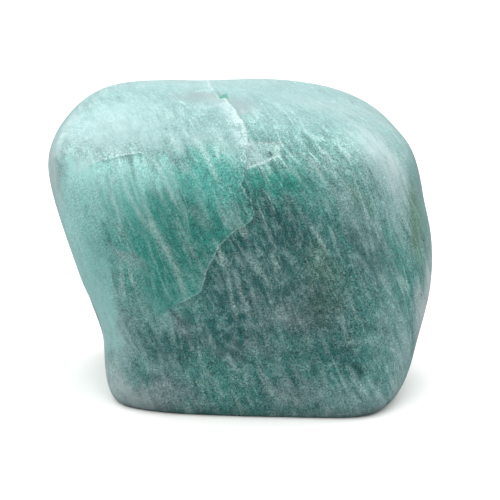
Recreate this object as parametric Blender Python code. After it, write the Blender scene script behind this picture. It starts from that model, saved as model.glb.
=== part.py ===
"""A tumbled amazonite: one polished piece of stone that stands on a small flat spot.

Every length and place below is in millimetres, and MM turns it into Blender's metres.
+X is the stone's width as the viewer sees it, +Y goes away from the viewer, and +Z is up.
The flat spot lies in z = 0, and the origin is under the middle of the stone.
"""

import math

import bmesh
import bpy
import numpy as np

MM = 0.001

# Where the stone's middle lies in the frame. The worn flats below are measured from it.
MIDDLE = (-0.4, -0.17, 11.0)

# The broad flats that tumbling left, each as (turn from the viewer's side towards +X,
# rise above level, distance from the middle): degrees, degrees, mm.
WORN_FLATS = {
    "front": (-4, -2, 9.7),
    "front left": (-40, -12, 13.2),
    "front right": (48, 4, 13.8),
    "top": (10, 87, 13.0),
    "top front": (-2, 46, 13.0),
    "top right": (84, 62, 14.2),
    "upper right": (84, 30, 16.1),
    "right": (84, 10, 16.3),
    "right middle": (98, -3, 17.7),
    "lower right": (92, -20, 16.0),
    "upper left": (-90, 35, 16.9),
    "left": (-82, -18, 12.4),
    "back": (176, 5, 9.8),
    "back left": (-138, 8, 13.0),
    "back right": (134, -8, 13.6),
    "back top": (188, 50, 12.8),
    "foot": (0, -90, 12.7),
    "foot front": (0, -78, 14.0),
    "foot left": (-80, -80, 13.9),
    "foot right": (84, -76, 15.1),
    "foot back": (176, -60, 11.9),
    "lower back": (172, -44, 13.8),
}
# The higher this is, the tighter the stone turns where two flats meet.
EDGE_SHARPNESS = 12.0

# Round swellings (height above zero) and hollows (below zero): x, y, z, radius, height.
SWELLINGS = [
    (-11.5, -5.8, 0.4, 3.2, 2.1),
    (-12.0, -4.2, 5.6, 2.6, -0.4),
    (9.5, 9.6, 8.0, 4.2, -0.45),
    (-6.5, 9.8, 15.5, 4.6, -0.35),
    (12.4, 7.6, 16.8, 3.6, -0.35),
    (-12.6, 4.4, 12.4, 3.8, -0.3),
    (11.8, -0.5, 19.8, 3.0, 0.35),
    (5.8, 0.0, 23.9, 3.2, -0.4),
    (14.9, 0.0, 15.6, 2.6, -0.4),
    (-11.2, 0.0, 18.8, 2.6, 0.6),
    (13.6, -1.0, 3.6, 2.6, -0.3),
    (-13.8, -1.0, 11.5, 2.6, -0.3),
]

# Long, low waves that keep the flats from being true planes: rate along x, y, z, start, height.
WAVES = [
    (0.42, 0.30, 0.18, 0.6, 0.05),
    (-0.23, 0.38, 0.47, 2.1, 0.05),
    (0.61, -0.35, 0.40, 4.0, 0.03),
]

# How softly the stone rounds into the flat spot at its foot.
FOOT_ROUNDING = 0.12

# The open crack over the top and down the front, as (x, z + y), the view from in front and above.
# Followed from its first point, the stone is lower on the left-hand side of this line and the next.
CRACK_LINE = [
    (-2.9, 26.3),
    (-2.5, 23.0),
    (-2.1, 21.3),
    (-1.3, 19.3),
    (-0.5, 17.4),
    (0.1, 14.7),
    (0.3, 12.6),
    (0.2, 10.4),
    (-0.1, 8.5),
    (0.6, 7.2),
    (1.0, 6.2),
    (0.7, 5.5),
    (-1.2, 4.4),
    (-2.0, 3.4),
    (-2.8, 1.7),
    (-3.2, 0.7),
    (-4.0, 0.0),
    (-5.4, -0.7),
]
CRACK_STEP = 0.17
CRACK_FADE = 2.6
# From the first share of its length to the second, its step goes down to the third's share.
CRACK_LOW = (0.45, 0.65, 0.3)

# A thin flake came off at the upper left and left a low ledge.
FLAKE_LINE = [
    (-6.9, 10.9),
    (-7.6, 11.9),
    (-9.2, 11.6),
    (-10.5, 11.1),
    (-11.5, 10.6),
]
FLAKE_STEP = 0.08
FLAKE_FADE = 1.6
FLAKE_LOW = (0.5, 1.0, 0.5)
LEDGE_END = 1.5

# The open chip beside the crack, with a flat floor. It goes round with its inside on the left.
CHIP_OUTLINE = [
    (0.5, 13.1),
    (0.5, 9.9),
    (1.6, 10.5),
    (2.8, 11.2),
    (2.9, 12.9),
    (1.7, 13.2),
    (0.5, 13.1),
]
CHIP_DEPTH = 0.14

# How wide a broken edge is, from its brink to the bottom of its step.
BROKEN_EDGE = 0.16

# Small pits: x, y, z, radius along x, along y, along z, depth.
PITS = [
    (-1.65, -3.3, 23.7, 0.45, 0.9, 0.9, 0.45),
    (14.6, 1.8, 9.2, 0.8, 1.1, 0.8, 0.14),
    (-2.8, 10.3, 7.4, 0.8, 0.8, 1.2, 0.16),
    (6.1, 9.5, 17.0, 0.7, 0.7, 0.9, 0.14),
]

# The net of points: how many cells along x, y and z, and half the box they start from.
CELLS = (29, 20, 24)
HALF_BOX = (15.0, 10.0, 11.7)
# Cells closer than this to a broken line are halved once, and near a pit they are halved twice.
LINE_REACH = 0.9
PIT_REACH = (0.9, 0.35)

STONE_COLOUR = (0.176, 0.374, 0.347)
STONE_ROUGHNESS = 0.3


def clear_scene():
    for thing in list(bpy.data.objects):
        bpy.data.objects.remove(thing, do_unlink=True)


def flat_normals():
    """The outward directions of the worn flats, and their distances from the middle."""
    directions = []
    distances = []
    for turn, rise, distance in WORN_FLATS.values():
        around = math.radians(turn)
        up = math.radians(rise)
        level = math.cos(up)
        directions.append((math.sin(around) * level, -math.cos(around) * level, math.sin(up)))
        distances.append(distance)
    return np.array(directions), np.array(distances)


def worn_block(ways):
    """Points where rays from the middle meet a block whose edges are worn round."""
    directions, distances = flat_normals()
    nearness = np.clip(ways @ directions.T, 0.0, None) / distances
    reach = (nearness**EDGE_SHARPNESS).sum(axis=1) ** (-1.0 / EDGE_SHARPNESS)
    return ways * reach[:, None] + np.array(MIDDLE)


def swelling_height(points):
    height = np.zeros(len(points))
    for x, y, z, radius, rise in SWELLINGS:
        apart = ((points - np.array((x, y, z))) ** 2).sum(axis=1)
        height += rise * np.exp(-apart / radius**2)
    return height


def wave_height(points):
    height = np.zeros(len(points))
    for along_x, along_y, along_z, start, rise in WAVES:
        height += rise * np.sin(points @ np.array((along_x, along_y, along_z)) + start)
    return height


def whole_stone(ways):
    """The stone as it would be with nothing broken from it, in millimetres."""
    points = worn_block(ways)
    return points + ways * (swelling_height(points) + wave_height(points))[:, None]


def smooth(share):
    """A soft step from 0 to 1 as share goes from 0 to 1."""
    share = np.clip(share, 0.0, 1.0)
    return share * share * (3.0 - 2.0 * share)


def from_front_and_above(points):
    """The pair (x, z + y) for each point, and a share that fades towards the back and the foot."""
    pairs = np.stack([points[:, 0], points[:, 2] + points[:, 1]], axis=1)
    return pairs, smooth((points[:, 2] - points[:, 1] - 11.0) / 4.0)


def line_distance(pairs, line):
    """Distance from each pair to a bent line, above zero on its left-hand side, and how far
    along the line the nearest place is."""
    best = np.full(len(pairs), np.inf)
    signed = np.zeros(len(pairs))
    run = np.zeros(len(pairs))
    before = 0.0
    for start, end in zip(line[:-1], line[1:]):
        along = np.array(end) - np.array(start)
        length = np.linalg.norm(along)
        offset = pairs - np.array(start)
        share = np.clip(offset @ along / length**2, 0.0, 1.0)
        apart = np.linalg.norm(offset - share[:, None] * along, axis=1)
        side = (along[0] * offset[:, 1] - along[1] * offset[:, 0]) / length
        # Past a corner two pieces of the line are equally near: the one faced more squarely counts.
        rank = apart - 1e-4 * np.abs(side)
        nearer = rank < best
        best = np.where(nearer, rank, best)
        signed = np.where(nearer, np.where(side > 0.0, apart, -apart), signed)
        run = np.where(nearer, before + share * length, run)
        before += length
    return signed, run


def line_length(line):
    return np.linalg.norm(np.diff(np.array(line), axis=0), axis=1).sum()


def ledge_height(pairs, line, step, fade, low):
    """A step down on the line's left-hand side that climbs back to the level further away."""
    signed, run = line_distance(pairs, line)
    length = line_length(line)
    lower_from, lower_to, low_share = low
    height = smooth(run / LEDGE_END) * smooth((length - run) / LEDGE_END)
    height *= 1.0 - (1.0 - low_share) * smooth((run / length - lower_from) / (lower_to - lower_from))
    drop = smooth(signed / BROKEN_EDGE) * np.exp(-np.maximum(signed, 0.0) / fade)
    return -step * drop * height


def pit_height(points):
    height = np.zeros(len(points))
    for x, y, z, along_x, along_y, along_z, depth in PITS:
        apart = (points - np.array((x, y, z))) / np.array((along_x, along_y, along_z))
        height -= depth * np.exp(-((apart**2).sum(axis=1) ** 1.5))
    return height


def broken_height(points):
    """How far the two ledges, the chip and the pits go into the whole stone."""
    pairs, share = from_front_and_above(points)
    height = ledge_height(pairs, CRACK_LINE, CRACK_STEP, CRACK_FADE, CRACK_LOW)
    height += ledge_height(pairs, FLAKE_LINE, FLAKE_STEP, FLAKE_FADE, FLAKE_LOW)
    height -= CHIP_DEPTH * smooth(line_distance(pairs, CHIP_OUTLINE)[0] / BROKEN_EDGE)
    return height * share + pit_height(points)


def rest_on_foot(points):
    """Everything under z = 0 is cut away flat, with a soft edge."""
    height = points[:, 2]
    soft = (height + FOOT_ROUNDING) ** 2 / (4.0 * FOOT_ROUNDING)
    height = np.where(height > FOOT_ROUNDING, height, np.where(height < -FOOT_ROUNDING, 0.0, soft))
    return np.stack([points[:, 0], points[:, 1], height], axis=1)


def centred(points):
    """The points moved level, by a few hundredths, until the origin is under the box's middle."""
    middle = (points.min(axis=0) + points.max(axis=0)) / 2.0
    return points - np.array((middle[0], middle[1], 0.0))


def vertex_array(mesh):
    return np.array([vertex.co[:] for vertex in mesh.verts])


def set_vertices(mesh, points):
    for vertex, point in zip(mesh.verts, points):
        vertex.co = point
    mesh.verts.index_update()


def ways_out(points):
    """The direction of each point seen from the stone's middle."""
    ways = points - np.array(MIDDLE)
    return ways / np.linalg.norm(ways, axis=1)[:, None]


def net_over_box():
    """A closed net of four-cornered cells over a box, finer near the box's edges."""
    mesh = bmesh.new()
    bmesh.ops.create_cube(mesh, size=2.0)
    for axis in range(3):
        edges = [e for e in mesh.edges if abs(e.verts[0].co[axis] - e.verts[1].co[axis]) > 1.0]
        bmesh.ops.subdivide_edges(mesh, edges=edges, cuts=CELLS[axis] - 1, use_grid_fill=True)
    places = vertex_array(mesh)
    places = places * (1.3 - 0.3 * places**2) * np.array(HALF_BOX)
    set_vertices(mesh, places + np.array(MIDDLE))
    return mesh


def lay_on_stone(mesh):
    """Moves every vertex along its way out until it lies on the whole stone."""
    set_vertices(mesh, whole_stone(ways_out(vertex_array(mesh))))


def split_near(mesh, distance_of, reach):
    """Halves every edge with an end closer than reach, and lays the new points on the stone."""
    near = distance_of(vertex_array(mesh)) < reach
    edges = [e for e in mesh.edges if near[e.verts[0].index] or near[e.verts[1].index]]
    bmesh.ops.subdivide_edges(mesh, edges=edges, cuts=1, use_grid_fill=True)
    mesh.verts.index_update()
    lay_on_stone(mesh)


def distance_to_lines(points):
    pairs, share = from_front_and_above(points)
    lines = (CRACK_LINE, FLAKE_LINE, CHIP_OUTLINE)
    nearest = np.min([np.abs(line_distance(pairs, line)[0]) for line in lines], axis=0)
    return np.where(share > 0.05, nearest, np.inf)


def distance_to_pits(points):
    nearest = np.full(len(points), np.inf)
    for x, y, z, along_x, along_y, along_z, depth in PITS:
        radius = max(along_x, along_y, along_z)
        apart = np.linalg.norm(points - np.array((x, y, z)), axis=1) - radius
        nearest = np.minimum(nearest, np.maximum(apart, 0.0))
    return nearest


def cut_along(mesh, line, aside):
    """Cuts the cells along a bent line moved aside, so that edges of the mesh follow it."""
    for start, end in zip(line[:-1], line[1:]):
        along = np.array(end) - np.array(start)
        length = np.linalg.norm(along)
        across = np.array((-along[1], along[0])) / length
        base = np.array(start) + across * aside
        cells = [f for f in mesh.faces if lies_beside(f, base, along / length, length, across)]
        parts = cells + list({e for f in cells for e in f.edges})
        parts += list({v for f in cells for v in f.verts})
        # The plane holds the direction (0, -1, 1), along which the pair (x, z + y) stays the same.
        normal = (across[0], across[1], across[1])
        bmesh.ops.bisect_plane(
            mesh, geom=parts, dist=0.03, plane_co=(base[0], 0.0, base[1]), plane_no=normal
        )


def lies_beside(cell, base, along, length, across):
    """Whether any corner is between the ends of a line and the cell reaches across it."""
    if cell.normal.dot((0.0, -1.0, 1.0)) <= 0.0:
        return False
    offsets = [(v.co.x - base[0], v.co.z + v.co.y - base[1]) for v in cell.verts]
    ways = [x * along[0] + z * along[1] for x, z in offsets]
    sides = [x * across[0] + z * across[1] for x, z in offsets]
    between = max(ways) > 0.0 and min(ways) < length
    return between and min(sides) < 0.0 < max(sides)


def net_on_stone():
    """The net laid on the whole stone, finer near what is broken and cut along the broken edges."""
    mesh = net_over_box()
    lay_on_stone(mesh)
    split_near(mesh, distance_to_lines, LINE_REACH)
    for reach in PIT_REACH:
        split_near(mesh, distance_to_pits, reach)
    mesh.normal_update()
    for line in (CRACK_LINE, FLAKE_LINE, CHIP_OUTLINE):
        for aside in (0.0, BROKEN_EDGE):
            cut_along(mesh, line, aside)
            mesh.normal_update()
    mesh.verts.index_update()
    lay_on_stone(mesh)
    return mesh


def build_stone():
    mesh = net_on_stone()
    whole = vertex_array(mesh)
    broken = whole + ways_out(whole) * broken_height(whole)[:, None]
    set_vertices(mesh, centred(rest_on_foot(broken)) * MM)
    bmesh.ops.triangulate(mesh, faces=mesh.faces, quad_method="SHORT_EDGE")
    bmesh.ops.recalc_face_normals(mesh, faces=mesh.faces)
    data = bpy.data.meshes.new("amazonite")
    mesh.to_mesh(data)
    mesh.free()
    for polygon in data.polygons:
        polygon.use_smooth = True
    stone = bpy.data.objects.new("amazonite", data)
    bpy.context.scene.collection.objects.link(stone)
    return stone


def give_material(stone):
    material = bpy.data.materials.new("polished_amazonite")
    material.use_nodes = True
    shader = material.node_tree.nodes["Principled BSDF"]
    shader.inputs["Base Color"].default_value = (*STONE_COLOUR, 1.0)
    shader.inputs["Roughness"].default_value = STONE_ROUGHNESS
    shader.inputs["Metallic"].default_value = 0.0
    shader.inputs["IOR"].default_value = 1.53
    material.diffuse_color = (*STONE_COLOUR, 1.0)
    stone.data.materials.append(material)


clear_scene()
give_material(build_stone())
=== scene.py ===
import math

import bpy
import numpy as np
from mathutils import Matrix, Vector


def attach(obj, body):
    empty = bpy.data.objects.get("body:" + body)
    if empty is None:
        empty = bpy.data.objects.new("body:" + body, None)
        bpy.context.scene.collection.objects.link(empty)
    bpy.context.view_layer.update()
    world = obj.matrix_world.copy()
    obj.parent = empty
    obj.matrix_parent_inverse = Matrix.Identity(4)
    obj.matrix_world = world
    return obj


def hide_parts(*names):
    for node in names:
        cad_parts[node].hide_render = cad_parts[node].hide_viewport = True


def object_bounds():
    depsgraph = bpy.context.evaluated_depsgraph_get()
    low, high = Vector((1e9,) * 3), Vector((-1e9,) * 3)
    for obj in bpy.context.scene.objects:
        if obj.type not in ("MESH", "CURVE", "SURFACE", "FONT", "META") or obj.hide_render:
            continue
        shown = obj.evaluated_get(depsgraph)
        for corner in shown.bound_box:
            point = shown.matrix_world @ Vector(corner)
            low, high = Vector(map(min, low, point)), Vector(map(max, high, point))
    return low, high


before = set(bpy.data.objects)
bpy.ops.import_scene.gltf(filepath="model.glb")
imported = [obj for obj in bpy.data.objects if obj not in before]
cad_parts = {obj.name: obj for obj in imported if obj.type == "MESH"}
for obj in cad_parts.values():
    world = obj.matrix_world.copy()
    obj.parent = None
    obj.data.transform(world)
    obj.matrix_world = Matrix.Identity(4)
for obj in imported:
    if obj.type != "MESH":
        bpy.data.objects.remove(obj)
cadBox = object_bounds()
print("frame loaded")

mm = 0.001


# sRGB hex text to linear light: each part is c/12.92 near black, else ((c + 0.055)/1.055)^2.4
def linear(hexText):
    parts = np.array([int(hexText[i:i + 2], 16) for i in (1, 3, 5)]) / 255.0
    light = np.where(parts <= 0.04045, parts / 12.92, ((parts + 0.055) / 1.055) ** 2.4)
    return (*light.tolist(), 1.0)


# soft step: 3s^2 - 2s^3 of the share held between 0 and 1
def softStep(share):
    share = np.clip(share, 0.0, 1.0)
    return share * share * (3.0 - 2.0 * share)


# returns a function that adds one node of a tree: its settings, then its inputs by name or number. An
# input is a plain value, a socket, or a node, whose first live output is taken
def nodeAdder(tree):
    tree.nodes.clear()

    def add(kind, settings={}, inputs={}):
        node = tree.nodes.new("ShaderNode" + kind)
        for name, value in settings.items():
            setattr(node, name, value)
        for name, value in inputs.items():
            if isinstance(value, bpy.types.Node):
                value = next(output for output in value.outputs if output.enabled)
            if isinstance(value, bpy.types.NodeSocket):
                tree.links.new(value, node.inputs[name])
            else:
                node.inputs[name].default_value = value
        return node
    return add


# random numbers from -1 to 1 on a cubic lattice that repeats, blended by the soft step
def latticeNoise(points, sizeMm, seed):
    repeat = 32
    table = np.random.RandomState(seed).uniform(-1.0, 1.0, (repeat, repeat, repeat))
    cell = np.floor(points / sizeMm).astype(int)
    part = softStep(points / sizeMm - cell)
    total = np.zeros(len(points))
    for corner in np.ndindex(2, 2, 2):
        near = np.where(np.array(corner) == 1, part, 1.0 - part).prod(axis=1)
        at = (cell + np.array(corner)) % repeat
        total += near * table[at[:, 0], at[:, 1], at[:, 2]]
    return total


# distance from each pair to a bent line, above zero on its left-hand side, and how far along it
# the nearest place is, 0 at its start and 1 at its end. Where two stretches are equally near, the
# one that the pair lies more squarely beside is taken
def lineDistance(pairs, line):
    line = np.array(line)
    lengths = np.linalg.norm(np.diff(line, axis=0), axis=1)
    before = np.concatenate([[0.0], np.cumsum(lengths)])
    tie = 1e-4
    best = np.full(len(pairs), np.inf)
    signed = np.zeros(len(pairs))
    run = np.zeros(len(pairs))
    for i, length in enumerate(lengths):
        along = line[i + 1] - line[i]
        offset = pairs - line[i]
        share = np.clip(offset @ along / length**2, 0.0, 1.0)
        apart = np.linalg.norm(offset - share[:, None] * along, axis=1)
        side = (along[0] * offset[:, 1] - along[1] * offset[:, 0]) / length
        rank = apart - tie * np.abs(side)
        nearer = rank < best
        best = np.where(nearer, rank, best)
        signed = np.where(nearer, np.where(side > 0.0, apart, -apart), signed)
        run = np.where(nearer, (before[i] + share * length) / before[-1], run)
    return signed, run


stone = {
    "middle": (-0.4, -0.17, 11.0),
    # worn flats: turn from the viewer's side towards +X, rise above level, distance from the middle
    "flats": [
        (-4, -2, 9.7),
        (-40, -12, 13.2),
        (48, 4, 13.8),
        (10, 87, 13.0),
        (-2, 46, 13.0),
        (84, 62, 14.2),
        (84, 30, 16.1),
        (84, 10, 16.3),
        (98, -3, 17.7),
        (92, -20, 16.0),
        (-90, 35, 16.9),
        (-82, -18, 12.4),
        (176, 5, 9.8),
        (-138, 8, 13.0),
        (134, -8, 13.6),
        (188, 50, 12.8),
        (0, -90, 12.7),
        (0, -78, 14.0),
        (-80, -80, 13.9),
        (84, -76, 15.1),
        (176, -60, 11.9),
        (172, -44, 13.8),
    ],
    "sharpness": 12.0,       # higher turns tighter where two flats meet
    # round swellings and hollows: x, y, z, radius, height
    "swellings": [
        (-11.5, -5.8, 0.4, 3.2, 2.1),
        (-12.0, -4.2, 5.6, 2.6, -0.4),
        (9.5, 9.6, 8.0, 4.2, -0.45),
        (-6.5, 9.8, 15.5, 4.6, -0.35),
        (12.4, 7.6, 16.8, 3.6, -0.35),
        (-12.6, 4.4, 12.4, 3.8, -0.3),
        (11.8, -0.5, 19.8, 3.0, 0.35),
        (5.8, 0.0, 23.9, 3.2, -0.4),
        (14.9, 0.0, 15.6, 2.6, -0.4),
        (-11.2, 0.0, 18.8, 2.6, 0.6),
        (13.6, -1.0, 3.6, 2.6, -0.3),
        (-13.8, -1.0, 11.5, 2.6, -0.3),
    ],
    # long low waves: rate along x, y, z, start, height
    "waves": [
        (0.42, 0.30, 0.18, 0.6, 0.05),
        (-0.23, 0.38, 0.47, 2.1, 0.05),
        (0.61, -0.35, 0.40, 4.0, 0.03),
    ],
    "footRounding": 0.12,        # how softly it turns into the flat under it
    "cells": (190, 60, 150),     # grid cells along x, y and z
    "halfBox": (15.0, 10.0, 11.7),   # half of the box that the net is blown out from
    "polishWaves": ((3.4, 0.030), (1.3, 0.009)),   # size and height of the polish's unevenness
    "polishSeed": 20,
}

# what is broken from it, as pairs (x, z + y): the view from in front and above
broken = {
    "crack": [
        (-2.9, 26.3), (-2.5, 23.0), (-2.1, 21.3), (-1.3, 19.3), (-0.5, 17.4), (0.1, 14.7),
        (0.3, 12.6), (0.2, 10.4), (-0.1, 8.5), (0.6, 7.2), (1.0, 6.2), (0.7, 5.5),
        (-1.2, 4.4), (-2.0, 3.4), (-2.8, 1.7), (-3.2, 0.7), (-4.0, 0.0), (-5.4, -0.7),
    ],
    "crackStep": 0.09,
    "crackFade": 2.6,
    "crackLow": (0.45, 0.65, 0.3),
    "flake": [(-6.9, 10.9), (-7.6, 11.9), (-9.2, 11.6), (-10.5, 11.1), (-11.5, 10.6)],
    "flakeStep": 0.05,
    "flakeFade": 1.6,
    "flakeLow": (0.5, 1.0, 0.5),
    "endTaper": 1.5,             # a ledge thins out over this length at each end
    "chip": [
        (0.2, 13.1), (0.2, 9.8), (1.6, 10.5), (2.8, 11.2), (2.9, 12.9), (1.7, 13.2), (0.2, 13.1),
    ],
    "chipDepth": 0.14,
    "chipRough": (0.35, 0.35),   # its floor's unevenness: size, and share of the depth
    "chipSeed": 5,
    "edge": 0.16,                # width of the steps and of the chip's wall
    # the clear green window in the pit by the crack, which is only a colour
    "window": [(-1.95, 21.6), (-1.65, 20.1), (-1.15, 19.5), (-1.3, 21.2), (-1.95, 21.6)],
    # pits: x, y, z, radius along x, y and z, depth
    "pits": [
        (-1.75, -2.9, 23.75, 0.45, 0.8, 0.8, 0.40),
        (14.6, 1.8, 9.2, 0.8, 1.1, 0.8, 0.14),
        (-2.8, 10.3, 7.4, 0.8, 0.8, 1.2, 0.16),
        (6.1, 9.5, 17.0, 0.7, 0.7, 0.9, 0.14),
    ],
    "ragged": ((1.1, 0.16), (0.45, 0.12)),   # how the lines waver: size and reach
    "raggedSeeds": (31, 32),
    "chipRagged": 0.4,           # how much of that the chip's and the window's outlines get
    "windowRagged": 0.5,
    "fadeFrom": 11.0,            # z - y where the breaks fade in from the back and the foot,
    "fadeOver": 4.0,             # and the length over which they do
}


# six flat grids, one for each side of a box. A corner is known by its steps (i, j, k) along the
# box's three edges, so corners that two sides share become one. Places along an edge are
# t (1.12 - 0.12 t^2), a little closer together near its ends
def boxNet(cells, halfBox):
    steps, quads = [], []
    for fixed in range(3):
        first, second = (fixed + 1) % 3, (fixed + 2) % 3
        for side in (0, cells[fixed]):
            i, j = np.meshgrid(np.arange(cells[first] + 1), np.arange(cells[second] + 1), indexing="ij")
            step = np.full(i.shape + (3,), side)
            step[..., first], step[..., second] = i, j
            index = np.arange(i.size).reshape(i.shape) + sum(len(s) for s in steps)
            ring = np.stack([index[:-1, :-1], index[1:, :-1], index[1:, 1:], index[:-1, 1:]], axis=-1)
            ring = ring.reshape(-1, 4)
            quads.append(ring if side else ring[:, ::-1])
            steps.append(step.reshape(-1, 3))
    steps, same = np.unique(np.concatenate(steps), axis=0, return_inverse=True)
    t = 2.0 * steps / np.array(cells) - 1.0
    ways = t * (1.12 - 0.12 * t**2) * np.array(halfBox)
    return ways / np.linalg.norm(ways, axis=1)[:, None], same.reshape(-1)[np.concatenate(quads)]


# distance out from the middle along each way u: (sum over flats of (u.n / d)^p)^(-1/p), where n is
# the flat's outward direction and d its distance; then swellings and waves are added along u
def wholeStone(ways):
    turn, rise, distance = np.array(stone["flats"]).T
    turn, rise = np.radians(turn), np.radians(rise)
    out = np.stack([np.sin(turn) * np.cos(rise), -np.cos(turn) * np.cos(rise), np.sin(rise)])
    nearness = np.clip(ways @ out, 0.0, None) / distance
    reach = (nearness ** stone["sharpness"]).sum(axis=1) ** (-1.0 / stone["sharpness"])
    points = ways * reach[:, None] + np.array(stone["middle"])
    lift = np.zeros(len(points))
    for x, y, z, radius, height in stone["swellings"]:
        lift += height * np.exp(-((points - np.array((x, y, z))) ** 2).sum(axis=1) / radius**2)
    for *rates, start, height in stone["waves"]:
        lift += height * np.sin(points @ np.array(rates) + start)
    return points + ways * lift[:, None]


# the pair (x, z + y) of each point, and a share that fades out towards the back and the foot:
# the soft step of (z - y - from) / over
def fromFrontAndAbove(points):
    pairs = np.stack([points[:, 0], points[:, 2] + points[:, 1]], axis=1)
    return pairs, softStep((points[:, 2] - points[:, 1] - broken["fadeFrom"]) / broken["fadeOver"])


# a step down on the line's left, -step * softStep(d / edge) * e^(-d / fade), nothing at its two ends.
# From the share low[0] of the line's length to low[1] the step goes down to low[2] of its height
def ledge(pairs, name):
    line = np.array(broken[name])
    signed, run = lineDistance(pairs, line)
    length = np.linalg.norm(np.diff(line, axis=0), axis=1).sum() / broken["endTaper"]
    ends = softStep(run * length) * softStep((1.0 - run) * length)
    start, end, low = broken[name + "Low"]
    ends *= 1.0 - (1.0 - low) * softStep((run - start) / (end - start))
    fade = np.exp(-np.maximum(signed, 0.0) / broken[name + "Fade"])
    return -broken[name + "Step"] * ends * softStep(signed / broken["edge"]) * fade


# the pairs moved by up to 0.3 mm, so that a break runs ragged where its line is straight
def raggedPairs(points):
    pairs, _ = fromFrontAndAbove(points)
    for size, reach in broken["ragged"]:
        moves = [latticeNoise(points, size, seed) for seed in broken["raggedSeeds"]]
        pairs = pairs + reach * np.stack(moves, axis=1)
    return pairs


# how far inside a closed outline each point is, below zero outside it; the outline is ragged by a
# share of the lines' unevenness
def insideOutline(pairs, ragged, name):
    share = broken[name + "Ragged"]
    inside, _ = lineDistance((1.0 - share) * pairs + share * ragged, broken[name])
    return inside


# all that lies under the whole surface: two ledges, the chip's flat floor, and the round pits, each
# depth * e^(-r^3)
def brokenHeight(points):
    pairs, share = fromFrontAndAbove(points)
    ragged = raggedPairs(points)
    height = ledge(ragged, "crack") + ledge(ragged, "flake")
    size, part = broken["chipRough"]
    rough = 1.0 + part * latticeNoise(points, size, broken["chipSeed"])
    height -= broken["chipDepth"] * softStep(insideOutline(pairs, ragged, "chip") / broken["edge"]) * rough
    height *= share
    for x, y, z, alongX, alongY, alongZ, depth in broken["pits"]:
        apart = (points - np.array((x, y, z))) / np.array((alongX, alongY, alongZ))
        height -= depth * np.exp(-((apart**2).sum(axis=1) ** 1.5))
    return height


# under z = 0 all is cut away flat; within the rounding the height is (z + f)^2 / 4f
def restOnFoot(points):
    soft = stone["footRounding"]
    z = points[:, 2]
    z = np.where(z > soft, z, np.where(z < -soft, 0.0, (z + soft) ** 2 / (4.0 * soft)))
    return np.stack([points[:, 0], points[:, 1], z], axis=1)


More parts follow.
